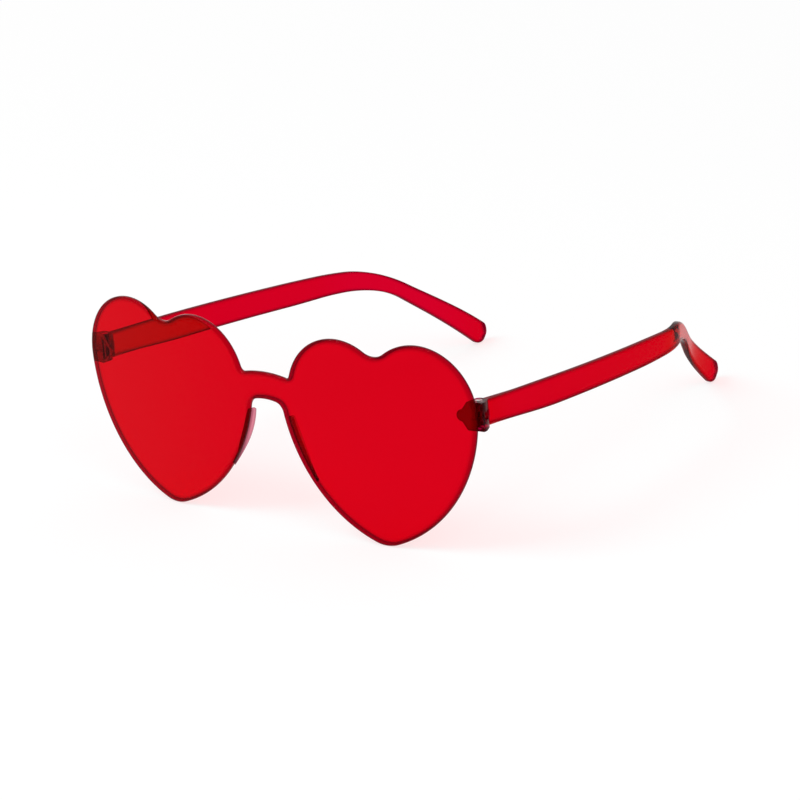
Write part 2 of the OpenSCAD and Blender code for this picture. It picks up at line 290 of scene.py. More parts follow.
@dataclass(frozen=True)
class ArmPath:
    """The arm's upper and lower edges from the side, and its middle from above."""

    bend_y: float = HINGE.root_y + ARM.length
    root_runs: tuple[float, ...] = (0.0, 0.06, 0.18, 0.5)
    bar_from: float = 2.0
    bar_steps: int = 70
    bend_steps: int = 49
    tip_steps: int = 33
    end_steps: int = 17
    least_end: float = 0.02
    paddle_out: float = 0.7
    flare_stop: float = -0.9

    @property
    def start(self) -> np.ndarray:
        """Middle of the arm, in Y and Z, where the bend starts."""
        drop = ARM.length * np.tan(np.radians(ARM.slope))
        return np.array([self.bend_y, ARM.hinge_z - drop])

    @property
    def centre(self) -> np.ndarray:
        """Centre of the bend."""
        a = np.radians(ARM.slope)
        return self.start - ARM.bend_r * np.array([np.sin(a), np.cos(a)])

    @property
    def tip_a(self) -> float:
        """Angle of the tip below the level, in radians."""
        return float(np.radians(ARM.slope + ARM.bend))

    @property
    def tip(self) -> np.ndarray:
        """Centre of the tip's round end."""
        a = self.tip_a
        end = self.centre + ARM.bend_r * np.array([np.sin(a), np.cos(a)])
        return end + ARM.tip_l * np.array([np.cos(a), -np.sin(a)])

    def edges(self) -> tuple[np.ndarray, np.ndarray, np.ndarray]:
        """Upper and lower edge points from the seam to the tip's end, with the end's share.

        The bar's edges run straight, the bend's edges lie on rays from its centre at the bend's
        radius plus or minus half the height, which eases by a cosine down to the neck, and the
        round end's edges are its half width times the cosine either side of the middle line.
        The bar is then fuller between its root and its bend, by the belly's height times two
        smooth steps, and the paddle's upper edge rises over one smooth step and falls round
        its end.

        Returns:
            The upper edge, the lower edge and, per point, how far into the round end it is.
        """
        first = np.array([HINGE.root_y, ARM.hinge_z])
        share = np.linspace(0.0, 1.0, self.bend_steps)[:, None]
        a = np.radians(ARM.slope) + share * np.radians(ARM.bend)
        ray = np.concatenate([np.sin(a), np.cos(a)], 1)
        ease = (1.0 - np.cos(np.pi * share)) / 2.0
        half = (ARM.bend_h + (ARM.neck_h - ARM.bend_h) * ease) / 2.0
        bend = [self.centre + (ARM.bend_r + up * half) * ray for up in (1, -1)]
        bar_runs = np.linspace(self.bar_from, ARM.length, self.bar_steps)
        run = np.concatenate([self.root_runs, bar_runs]) / ARM.length
        root = [first + [0.0, up * ARM.front_h / 2] for up in (1, -1)]
        bar = [r + run[:-1, None] * (b[0] - r) for r, b in zip(root, bend)]
        a_end = self.tip_a
        up_way = np.array([np.sin(a_end), np.cos(a_end)])
        on_way = np.array([np.cos(a_end), -np.sin(a_end)])
        tip_share = np.linspace(0.0, 1.0, self.tip_steps)[1:, None]
        last = [self.tip + up * ARM.tip_w / 2 * up_way for up in (1, -1)]
        tip = [b[-1] + tip_share * (e - b[-1]) for b, e in zip(bend, last)]
        turn = np.linspace(0.0, np.pi / 2, self.end_steps)[1:, None]
        middle = self.tip + ARM.tip_w / 2 * np.sin(turn) * on_way
        off = ARM.tip_w / 2 * np.maximum(np.cos(turn), self.least_end)
        end = [middle + up * off * up_way for up in (1, -1)]
        top, low = (np.concatenate([bar[i], bend[i], tip[i], end[i]]) for i in (0, 1))
        into = np.concatenate([np.zeros(len(top) - len(turn)), np.sin(turn[:, 0])])
        up_way = (top - low) / np.hypot(*(top - low).T)[:, None]
        along = (top[:, 0] + low[:, 0]) / 2 - HINGE.root_y
        belly = smooth(along / ARM.belly_in)
        belly = belly * (1.0 - smooth((along - ARM.belly_to) / ARM.belly_out))
        paddle = smooth((along - ARM.paddle_from) / ARM.paddle_in)
        paddle = paddle * (1.0 - smooth(into / self.paddle_out))
        more = ARM.belly_top * belly + ARM.paddle_top * paddle
        return top + more[:, None] * up_way, low - ARM.belly_low * belly[:, None] * up_way, into

    def plan(self, y: np.ndarray) -> tuple[np.ndarray, np.ndarray, np.ndarray]:
        """Middle of the arm from above at y.

        It is straight, then an arc of the bow's radius, then one of the hook's radius, then
        straight along the last tangent, then an arc of the flare's radius that turns the other
        way. Half the thickness runs out evenly from the seam.

        Args:
            y: Distances behind the bridge.

        Returns:
            X of the middle, the direction of the arm's outer normal, and half the thickness.
        """
        half = ARM.thickness / 2
        taper = np.clip((y - HINGE.root_y) / ARM.taper_l, 0.0, 1.0)
        half_t = ARM.front_t / 2 + (half - ARM.front_t / 2) * taper
        mid = HINGE.out_x - half_t
        bow_y = HINGE.root_y + ARM.straight
        bow_cx = HINGE.out_x - half - ARM.bow_r
        bow_a = np.arcsin(ARM.bow_l / ARM.bow_r)
        bow_end = np.array([bow_cx + ARM.bow_r * np.cos(bow_a), bow_y + ARM.bow_l])
        hook_c = bow_end - ARM.hook_r * np.array([np.cos(bow_a), np.sin(bow_a)])
        end_a = bow_a + np.radians(ARM.hook)
        hook_end = hook_c + ARM.hook_r * np.array([np.cos(end_a), np.sin(end_a)])
        flare_y = self.tip[0] + ARM.tip_w / 2 - ARM.flare_l
        flare_x = hook_end[0] - (flare_y - hook_end[1]) * np.tan(end_a)
        end_way = np.array([np.cos(end_a), np.sin(end_a)])
        flare_c = np.array([flare_x, flare_y]) + ARM.flare_r * end_way
        in_bow = np.arcsin(np.clip((y - bow_y) / ARM.bow_r, 0.0, np.sin(bow_a)))
        in_hook = np.arcsin(np.clip((y - hook_c[1]) / ARM.hook_r, np.sin(bow_a), np.sin(end_a)))
        flare_share = np.clip((flare_c[1] - y) / ARM.flare_r, self.flare_stop, np.sin(end_a))
        in_flare = np.arcsin(flare_share)
        x = np.where(y < bow_y, mid, bow_cx + ARM.bow_r * np.cos(in_bow))
        x = np.where(y > bow_end[1], hook_c[0] + ARM.hook_r * np.cos(in_hook), x)
        x = np.where(y > hook_end[1], hook_end[0] - (y - hook_end[1]) * np.tan(end_a), x)
        x = np.where(y > flare_y, flare_c[0] - ARM.flare_r * np.cos(in_flare), x)
        angle = np.where(y > bow_end[1], in_hook, in_bow)
        angle = np.where(y > flare_y, in_flare, angle)
        return x, angle, half_t


PATH = ArmPath()


@dataclass(frozen=True)
class Stand:
    """How the upright drawing leans back onto its four resting points, centred on the origin."""

    @property
    def stand_y(self) -> float:
        """Y of the sheet's back face at a heart point."""
        x = np.array(FRONT.centres()["point"][0])
        return float(FRONT.depth(x, FRONT.thickness))

    @property
    def lean(self) -> float:
        """Angle of the lean, in radians."""
        reach = np.array([PATH.tip[1], PATH.tip[0] - self.stand_y])
        return float(
            np.arccos(ARM.tip_w / 2 / np.hypot(*reach)) - np.arctan2(reach[1], reach[0])
        )

    def shift(self) -> np.ndarray:
        """The move that centres the leaned sunglasses over the origin and sets them on Z = 0."""
        front = (self.stand_y - FRONT.thickness) * np.cos(self.lean)
        rear = PATH.tip[0] * np.cos(self.lean) + PATH.tip[1] * np.sin(self.lean) + ARM.tip_w / 2
        return np.array([0.0, -(front + rear) / 2, self.stand_y * np.sin(self.lean)])

    def turn(self) -> np.ndarray:
        """The lean as a matrix: Y' = Y cos + Z sin and Z' = Z cos - Y sin."""
        c, s = np.cos(self.lean), np.sin(self.lean)
        return np.array([[1.0, 0.0, 0.0], [0.0, c, s], [0.0, -s, c]])

    def place(self, points: np.ndarray) -> np.ndarray:
        """Points of the upright drawing, in millimetres, as points of the shared frame in metres."""
        return (points @ self.turn().T + self.shift()) * MM


STAND = Stand()


# Meshes from grids of points


def grid_faces(rows: int, columns: int, first: int = 0, around: bool = False) -> np.ndarray:
    """Four corners of each cell of a grid that is stored row by row.

    Args:
        rows: Number of rows.
        columns: Points in a row.
        first: Index of the grid's first point.
        around: True if the last column joins the first.

    Returns:
        One row of four indices for each cell.
    """
    i = np.arange(rows - 1)[:, None]
    j = np.arange(columns if around else columns - 1)[None, :]
    k = (j + 1) % columns
    corners = [i * columns + j, i * columns + k, (i + 1) * columns + k, (i + 1) * columns + j]
    return first + np.stack([np.broadcast_to(c, (rows - 1, j.size)).ravel() for c in corners], -1)


@dataclass
class Shell:
    """A mesh in the making: blocks of points, how near each is to an edge, which sets its painted edge
    shade, and their faces.
    """

    points: list[np.ndarray] = field(default_factory=list)
    edges: list[np.ndarray] = field(default_factory=list)
    faces: list[np.ndarray] = field(default_factory=list)

    @property
    def count(self) -> int:
        """Points so far."""
        return sum(len(p) for p in self.points)

    def grid(
        self, points: np.ndarray, edge: np.ndarray | float = 0.0, around: bool = False
    ) -> None:
        """Adds a grid of points, shaped rows by columns by 3.

        Args:
            points: The grid.
            edge: How near each point is to an edge, from 0 on the flats to 1 on the edge; it sets how
                much painted edge shade the point takes.
            around: True if its last column joins its first.
        """
        rows, columns = points.shape[:2]
        self.faces.append(grid_faces(rows, columns, self.count, around))
        self.edges.append(np.broadcast_to(edge, (rows, columns)).ravel())
        self.points.append(points.reshape(-1, 3))

    def cap(self, ring: np.ndarray, edge: float = 1.0) -> None:
        """Closes a ring of points with a fan about its mean point, which takes the full painted edge
        shade by default.
        """
        first, n = self.count, len(ring)
        j = np.arange(n)
        self.faces.append(first + np.stack([j, (j + 1) % n, np.full(n, n), np.full(n, n)], -1))
        self.edges.append(np.full(n + 1, edge))
        self.points.append(np.concatenate([ring, ring.mean(0)[None]]))

    def piece(
        self, name: str, material: bpy.types.Material, mirror: bool = False
    ) -> bpy.types.Object:
        """Makes the object: points are carried into the shared frame and seams are merged.

        Args:
            name: Name of the piece.
            material: Its finish.
            mirror: True for the wearer's right side.

        Returns:
            The new object, at the origin.
        """
        points = np.concatenate(self.points)
        if mirror:
            points = points * [-1.0, 1.0, 1.0]
        faces = [tuple(dict.fromkeys(f)) for f in np.concatenate(self.faces).tolist()]
        mesh = bpy.data.meshes.new(name)
        mesh.from_pydata(STAND.place(points).tolist(), [], faces)
        # Each point's edge value, which the finishes turn into painted edge shade
        edge = mesh.attributes.new("edge", "FLOAT", "POINT")
        edge.data.foreach_set("value", np.concatenate(self.edges).astype(np.float32))
        work = bmesh.new()
        work.from_mesh(mesh)
        bmesh.ops.remove_doubles(work, verts=work.verts, dist=WELD)
        bmesh.ops.recalc_face_normals(work, faces=work.faces)
        work.to_mesh(mesh)
        work.free()
        mesh.shade_smooth()
        mesh.materials.append(material)
        piece = bpy.data.objects.new(name, mesh)
        bpy.context.scene.collection.objects.link(piece)
        return piece


def round_profile(
    half_w: np.ndarray, half_h: np.ndarray, radius: np.ndarray, steps: int
) -> tuple[np.ndarray, np.ndarray]:
    """Rounded rectangles: each corner's centre plus the radius times the cosine and sine.

    Args:
        half_w: Half widths, one for each station.
        half_h: Half heights.
        radius: Corner radii.
        steps: Points on each corner.

    Returns:
        Offsets across and up, stations by points.
    """
    quarter = np.linspace(0.0, np.pi / 2, steps)
    angle = np.concatenate([quarter + k * np.pi / 2 for k in range(4)])
    sx = np.repeat([1.0, -1.0, -1.0, 1.0], steps)
    sy = np.repeat([1.0, 1.0, -1.0, -1.0], steps)
    r = np.minimum(np.minimum(radius, half_w), half_h)[:, None]
    across = sx * (half_w[:, None] - r) + r * np.cos(angle)
    up = sy * (half_h[:, None] - r) + r * np.sin(angle)
    return across, up


# Finishes


def node(tree: bpy.types.NodeTree, kind: str, **values: object) -> bpy.types.Node:
    """Adds a shader node and sets its inputs by name.

    Args:
        tree: The tree that it goes in.
        kind: Blender's name of the node type.
        **values: Inputs, with spaces in their names written as underscores.

    Returns:
        The node.
    """
    made = tree.nodes.new(kind)
    for key, value in values.items():
        made.inputs[key.replace("_", " ")].default_value = value
    return made


def fresh(name: str) -> tuple[bpy.types.Material, bpy.types.NodeTree, bpy.types.Node]:
    """A new material with only its output node."""
    material = bpy.data.materials.new(name)
    material.use_nodes = True
    tree = material.node_tree
    tree.nodes.clear()
    return material, tree, tree.nodes.new("ShaderNodeOutputMaterial")


@dataclass(frozen=True)
class ClearPlastic:
    """Dyed clear plastic: a tinted polished skin over a body that takes more light the deeper it is.

    Along the edges the skin is painted a deeper colour, a painted shade that stands in for the light
    the real sheet leads away inside.
    """

    name: str
    tint: tuple[float, float, float]
    shade: tuple[float, float, float]
    density: float
    sheen_tint: tuple[float, float, float]
    # Dark colour painted along the edges as shade
    painted_edge_shade: tuple[float, float, float]
    ior: float = 1.2
    roughness: float = 0.03
    ripple: float = 0.02
    ripple_scale: float = 60.0

    def make(self) -> bpy.types.Material:
        """Builds the material; light for shadows passes straight through the tinted skin."""
        material, tree, out = fresh(self.name)
        skin = node(
            tree, "ShaderNodeBsdfPrincipled",
            Transmission_Weight=1.0, IOR=self.ior, Specular_Tint=(*self.sheen_tint, 1.0),
        )
        # Painted shade: the dye's tint is mixed towards the dark edge colour by the edge value
        edge = tree.nodes.new("ShaderNodeAttribute")
        edge.attribute_name = "edge"
        dye_and_edge_shade = tree.nodes.new("ShaderNodeMixRGB")
        dye_and_edge_shade.inputs["Color1"].default_value = (*self.tint, 1.0)
        dye_and_edge_shade.inputs["Color2"].default_value = (*self.painted_edge_shade, 1.0)
        tree.links.new(edge.outputs["Fac"], dye_and_edge_shade.inputs["Fac"])
        tree.links.new(dye_and_edge_shade.outputs["Color"], skin.inputs["Base Color"])
        coords = tree.nodes.new("ShaderNodeTexCoord")
        waves = node(tree, "ShaderNodeTexNoise", Scale=self.ripple_scale, Detail=2.0)
        tree.links.new(coords.outputs["Object"], waves.inputs["Vector"])
        polish = node(
            tree, "ShaderNodeMapRange", From_Min=0.35, From_Max=0.75,
            To_Min=self.roughness * 0.7, To_Max=self.roughness * 1.5,
        )
        tree.links.new(waves.outputs["Fac"], polish.inputs["Value"])
        tree.links.new(polish.outputs["Result"], skin.inputs["Roughness"])
        bump = node(tree, "ShaderNodeBump", Strength=self.ripple, Distance=0.001)
        tree.links.new(waves.outputs["Fac"], bump.inputs["Height"])
        tree.links.new(bump.outputs["Normal"], skin.inputs["Normal"])
        passed = node(tree, "ShaderNodeBsdfTransparent", Color=(*np.sqrt(self.tint), 1.0))
        path = tree.nodes.new("ShaderNodeLightPath")
        mix = tree.nodes.new("ShaderNodeMixShader")
        tree.links.new(path.outputs["Is Shadow Ray"], mix.inputs["Fac"])
        tree.links.new(skin.outputs["BSDF"], mix.inputs[1])
        tree.links.new(passed.outputs["BSDF"], mix.inputs[2])
        tree.links.new(mix.outputs["Shader"], out.inputs["Surface"])
        body = node(
            tree, "ShaderNodeVolumeAbsorption", Color=(*self.shade, 1.0), Density=self.density
        )
        tree.links.new(body.outputs["Volume"], out.inputs["Volume"])
        return material


@dataclass(frozen=True)
class TurnedSteel:
    """Plated steel with a fine worn grain in its polish."""

    name: str = "screw_steel"
    colour: tuple[float, float, float] = (0.56, 0.55, 0.54)

    def make(self) -> bpy.types.Material:
        """Builds the material, with its roughness and bump from fine noise."""
        material, tree, out = fresh(self.name)
        steel = node(
            tree, "ShaderNodeBsdfPrincipled", Base_Color=(*self.colour, 1.0), Metallic=1.0
        )
        coords = tree.nodes.new("ShaderNodeTexCoord")
        grain = node(tree, "ShaderNodeTexNoise", Scale=6000.0, Detail=3.0)
        tree.links.new(coords.outputs["Object"], grain.inputs["Vector"])
        wear = node(
            tree, "ShaderNodeMapRange", From_Min=0.3, From_Max=0.7, To_Min=0.22, To_Max=0.42
        )
        tree.links.new(grain.outputs["Fac"], wear.inputs["Value"])
        tree.links.new(wear.outputs["Result"], steel.inputs["Roughness"])
        bump = node(tree, "ShaderNodeBump", Strength=0.1, Distance=0.00005)
        tree.links.new(grain.outputs["Fac"], bump.inputs["Height"])
        tree.links.new(bump.outputs["Normal"], steel.inputs["Normal"])
        tree.links.new(steel.outputs["BSDF"], out.inputs["Surface"])
        return material


# Sub-assemblies


@dataclass
class HeartFront:
    """The curved clear sheet with both hearts and the bridge."""

    sizes: FrontSizes
    material: bpy.types.Material
    edge_r: float = 0.7
    # Width of the painted shade band along the outline, and its strength on the rim and the front face
    shade_band_w: float = 1.9
    rim_shade: float = 0.7
    front_shade: float = 0.36
    columns: int = 240
    rows: int = 41
    round_steps: int = 9

    def half(self) -> tuple[np.ndarray, np.ndarray]:
        """The left half's upper and lower outline, from the midline to its outermost point.

        Returns:
            Upper and lower path, each of columns plus one points.
        """
        s, c = self.sizes, self.sizes.centres()
        upper = np.concatenate([
            arc(c["crown"], s.crown_r, np.pi / 2, bearing(c["crown"], c["fillet"]), True),
            arc(c["fillet"], s.fillet_r, bearing(c["fillet"], c["crown"]),
                bearing(c["fillet"], c["inner"]), False),
            arc(c["inner"], s.inner_r, bearing(c["inner"], c["fillet"]),
                bearing(c["inner"], c["cleft"]), True),
            arc(c["cleft"], s.cleft_r, bearing(c["cleft"], c["inner"]),
                bearing(c["cleft"], c["outer"]), False),
            arc(c["outer"], s.outer_r, bearing(c["outer"], c["cleft"]), 0.0, True),
        ])
        lower = np.concatenate([
            arc(c["arch"], s.arch_r, np.pi / 2, bearing(c["arch"], c["corner"]), True),
            arc(c["corner"], s.corner_r, bearing(c["arch"], c["corner"]),
                bearing(c["corner"], c["inner_flank"]), True),
            arc(c["inner_flank"], s.inner_flank_r, bearing(c["inner_flank"], c["corner"]),
                bearing(c["inner_flank"], c["point"]), False),
            arc(c["point"], s.point_r, bearing(c["inner_flank"], c["point"]),
                bearing(c["outer_flank"], c["point"]), False),
            arc(c["outer_flank"], s.outer_flank_r, bearing(c["outer_flank"], c["point"]),
                bearing(c["outer_flank"], c["outer"]), False),
            arc(c["outer"], s.outer_r, bearing(c["outer_flank"], c["outer"]), 0.0, False),
        ])
        return evenly(upper, self.columns + 1), evenly(lower, self.columns + 1)

    def loop(self) -> tuple[np.ndarray, np.ndarray]:
        """The whole outline, clockwise from the top of the bridge, and its outward normals."""
        upper, lower = self.half()
        right = np.concatenate([upper, lower[-2:0:-1]])
        left = np.concatenate([lower, upper[-2:0:-1]]) * [-1.0, 1.0]
        loop = np.concatenate([right, left])
        way = np.roll(loop, -1, 0) - np.roll(loop, 1, 0)
        way /= np.hypot(*way.T)[:, None]
        return loop, np.stack([-way[:, 1], way[:, 0]], -1)

    def bent(self, flat: np.ndarray, below: np.ndarray | float) -> np.ndarray:
        """Carries flat points onto the wrap, a given distance behind its front face."""
        x, z = flat[..., 0], flat[..., 1]
        return np.stack([x, self.sizes.depth(x, below), z], -1)

    def make(self) -> bpy.types.Object:
        """Builds the sheet: two ruled faces between the inset outlines and a rounded rim.

        A face's point is the share v of the way from the lower to the upper outline, with v
        eased by a cosine towards both. The rim is a quarter round, a flat and a quarter round
        carried along the outline's normals. The edge value paints a band of shade along the
        outline: it falls by a square from the rim to zero at the band's width from the outline,
        and is highest on the rim's back.

        Returns:
            The piece.
        """
        shell = Shell()
        loop, normal = self.loop()
        n, t, e = self.columns, self.sizes.thickness, self.edge_r
        inset = loop - e * normal
        quarter = np.linspace(0.0, np.pi / 2, self.round_steps)
        out = np.concatenate([e * np.sin(quarter), e * np.cos(quarter)]) - e
        back = np.concatenate([e - e * np.cos(quarter), t - e + e * np.sin(quarter)])
        rim = self.bent(
            loop[None] + out[:, None, None] * normal[None], back[:, None] * np.ones(len(loop))
        )
        # Painted shade: the rim takes the dark edge colour, most on its back
        shell.grid(rim, np.linspace(self.rim_shade, 1.0, len(out))[:, None] ** 2, around=True)
        upper = np.concatenate([inset[3 * n:], inset[: n + 1]])
        lower = inset[n : 3 * n + 1][::-1]
        v = (1.0 - np.cos(np.linspace(0.0, np.pi, self.rows)))[:, None, None] / 2
        flat = lower[None] * (1.0 - v) + upper[None] * v
        spots = flat.reshape(-1, 2)
        square = (spots**2).sum(1)[:, None] + (loop**2).sum(1) - 2.0 * spots @ loop.T
        near = np.sqrt(np.maximum(square.min(1), 0.0)).reshape(flat.shape[:2])
        # The painted shade band fades from the rim to nothing at its width, and is fainter on the front
        # face
        fall = np.clip((self.shade_band_w - near) / (self.shade_band_w - e), 0.0, 1.0) ** 2
        shell.grid(self.bent(flat, 0.0), self.front_shade * fall)
        shell.grid(self.bent(flat, t), fall)
        return shell.piece("heart_front", self.material)


@dataclass
class NoseFin:
    """A thin clear fin behind a heart's inner side, that rests on the nose."""

    side: Side
    material: bpy.types.Material
    thickness: float = 1.2
    foot: float = 1.3
    # Width of the painted shade at the fin's foot against the sheet
    foot_shade: float = 1.1
    reach: float = 2.2
    height: float = 17.5
    middle_z: float = 23.5
    peak: float = 3.5
    bond: float = 0.02
    clear: float = 0.03
    edge_r: float = 0.5
    low_cut: float = 0.25
    least_d: float = 0.06
    top_share: float = 0.97
    top_thin: float = 0.9
    # Where the painted shade starts at the fin's rear edge
    rear_shade: float = 0.6
    steps: int = 48
    top_steps: int = 9
    corner_steps: int = 6

    def make(self) -> bpy.types.Object:
        """Builds the fin: a rounded strip carried up the heart's inner side.

        At each height the strip runs back from the sheet to a circular back edge and across the
        fin's thickness. The back edge is deepest above the middle, so the fin runs out at its
        lower end and ends blunt at the top, where the strip shrinks by the edge's radius times
        one less the cosine of the height within that radius. Its side under the heart spreads
        into a foot by the foot's width times the square of the nearness to the sheet.

        Returns:
            The piece.
        """
        c = FRONT.centres()["inner_flank"]
        outer_r = FRONT.inner_flank_r
        rise = self.height / 2
        back_r = ((rise + self.peak) ** 2 + self.reach**2) / (2 * self.reach)
        low, high, e, cut = self.middle_z - rise, self.middle_z + rise, self.edge_r, self.low_cut
        z = np.concatenate([
            low + cut + (high - e - low - cut) * np.linspace(0.0, 1.0, self.steps),
            high - e + e * np.sin(np.linspace(0.0, self.top_share * np.pi / 2, self.top_steps))[1:],
        ])
        shrink = e * (1.0 - np.sqrt(1.0 - np.clip((z - high + e) / e, 0.0, 1.0) ** 2))
        angle = np.arcsin((z - c[1]) / (outer_r - self.thickness / 2))
        mid_x = c[0] - (outer_r - self.thickness / 2) * np.cos(angle)
        middle = float(c[0] - np.sqrt(outer_r**2 - (c[1] - self.middle_z) ** 2))
        sheet_y = float(FRONT.depth(np.array(middle), FRONT.thickness))
        rise_in = np.sqrt(back_r**2 - (z - self.middle_z - self.peak) ** 2)
        back = sheet_y + self.reach - back_r + rise_in
        front = FRONT.depth(mid_x + self.thickness / 2, FRONT.thickness) + self.bond + self.clear
        half_d = np.maximum((back - front) / 2 - shrink / 2, self.least_d)
        half_t = self.thickness / 2 - shrink * self.top_thin
        across, along = round_profile(half_t, half_d, np.full(len(z), e), self.corner_steps)
        away = np.clip((half_t[:, None] - across) / (2 * half_t[:, None]), 0.0, 1.0)
        to_sheet = (half_d[:, None] - along) / (2 * half_d[:, None])
        thin = np.clip(half_d[:, None] / (2 * e), 0.0, 1.0)
        across = across - self.foot * away * to_sheet**2 * thin
        x = mid_x[:, None] - across * np.cos(angle)[:, None]
        y = (front + half_d)[:, None] + along
        height = z[:, None] + across * np.sin(angle)[:, None]
        least = FRONT.depth(x, FRONT.thickness) + self.bond
        rings = np.stack([x, np.maximum(y, least), np.minimum(height, high)], -1)
        # Painted shade: the fin's rear edge and its foot at the sheet take the dark edge colour
        at_rear = self.rear_shade - (half_d[:, None] - along) / e
        at_foot = 1.0 - (half_d[:, None] + along) / self.foot_shade
        edge = np.clip(np.maximum(at_rear, at_foot), 0.0, 1.0)
        shell = Shell()
        shell.grid(rings, edge, around=True)
        shell.cap(rings[0])
        shell.cap(rings[-1])
        return shell.piece(f"nose_fin_{self.side.word}", self.material, self.side is Side.RIGHT)


@dataclass
class HingeBlock:
    """The bonded block whose two ears hold the arm's tongue, from its own solid with eased edges."""

    side: Side
    solid: bpy.types.Object
    material: bpy.types.Material
    ease: float = 0.06

    def make(self) -> bpy.types.Object:
        """Copies the solid, merges its triangles into flat faces and eases its sharp edges."""
        name = f"hinge_block_{self.side.word}"
        mesh = self.solid.data.copy()
        mesh.name = name
        work = bmesh.new()
        work.from_mesh(mesh)
        bmesh.ops.remove_doubles(work, verts=work.verts, dist=WELD)
        bmesh.ops.dissolve_limit(
            work, angle_limit=np.radians(0.5), verts=work.verts, edges=work.edges
        )
        work.to_mesh(mesh)
        work.free()
        mesh.materials.clear()
        mesh.materials.append(self.material)
        piece = bpy.data.objects.new(name, mesh)
        bpy.context.scene.collection.objects.link(piece)
        bevel = piece.modifiers.new("eased_edges", "BEVEL")
        bevel.width = self.ease * MM
        bevel.segments = 2
        bevel.limit_method = "ANGLE"
        bevel.angle_limit = np.radians(40.0)
        bevel.use_clamp_overlap = True
        mesh.shade_smooth()
        mesh.set_sharp_from_angle(angle=np.radians(35.0))
        return piece


@dataclass
class HingeScrew:
    """A slotted screw with a domed head, sunk in the block's upper ear."""

    side: Side
    material: bpy.types.Material
    slot_w: float = 0.34
    slot_depth: float = 0.26
    slot_lip: float = 0.03
    slot_ease: float = 0.05
    dome: float = 0.12
    dome_inset: float = 0.05
    end_share: float = 0.7
    chamfer: float = 0.15
    head_ease: float = 0.06
    rim_ease: float = 0.08
    dome_steps: int = 22
    turn_steps: int = 96

    def make(self) -> bpy.types.Object:
        """Builds the screw: its profile turned about the axis, with the slot pressed into the head.

        Each ring of the profile has a radius and a height. In the head's top, the height drops
        by the slot's depth wherever the distance from the slot's line is under half its width.

        Returns:
            The piece.
        """
        a = ARM
        seat = a.hinge_z + a.block_h / 2 - a.head_h - a.fit
        low = a.hinge_z - a.block_h / 2 + a.screw_r / 2
        top = seat + a.head_h
        profile = [
            (0.0, low),
            (a.screw_r * self.end_share, low),
            (a.screw_r, low + self.chamfer),
            (a.screw_r, seat),
            (a.head_r - self.head_ease, seat),
            (a.head_r, seat + self.head_ease),
            (a.head_r, top - self.dome - self.rim_ease),
        ]
        share = np.linspace(0.0, 1.0, self.dome_steps)
        dome_r = a.head_r - self.dome_inset
        inner = [(dome_r * (1 - s), top - self.dome * (1 - s) ** 2) for s in share]
        ring = np.array(profile + inner)
        theta = np.linspace(0.0, TURN, self.turn_steps, endpoint=False)
        x = ring[:, :1] * np.cos(theta)
        y = ring[:, :1] * np.sin(theta)
        z = ring[:, 1:] + 0.0 * theta
        wall = np.clip((self.slot_w / 2 + self.slot_lip - np.abs(y)) / self.slot_ease, 0.0, 1.0)
        head = (np.arange(len(ring)) >= len(profile))[:, None]
        z = z - np.where(head, self.slot_depth * wall, 0.0)
        points = np.stack([HINGE.axis_x + x, HINGE.axis_y + y, z], -1)
        shell = Shell()
        shell.grid(points, around=True)
        piece = shell.piece(f"screw_{self.side.word}", self.material, self.side is Side.RIGHT)
        piece.data.set_sharp_from_angle(angle=np.radians(40.0))
        return piece


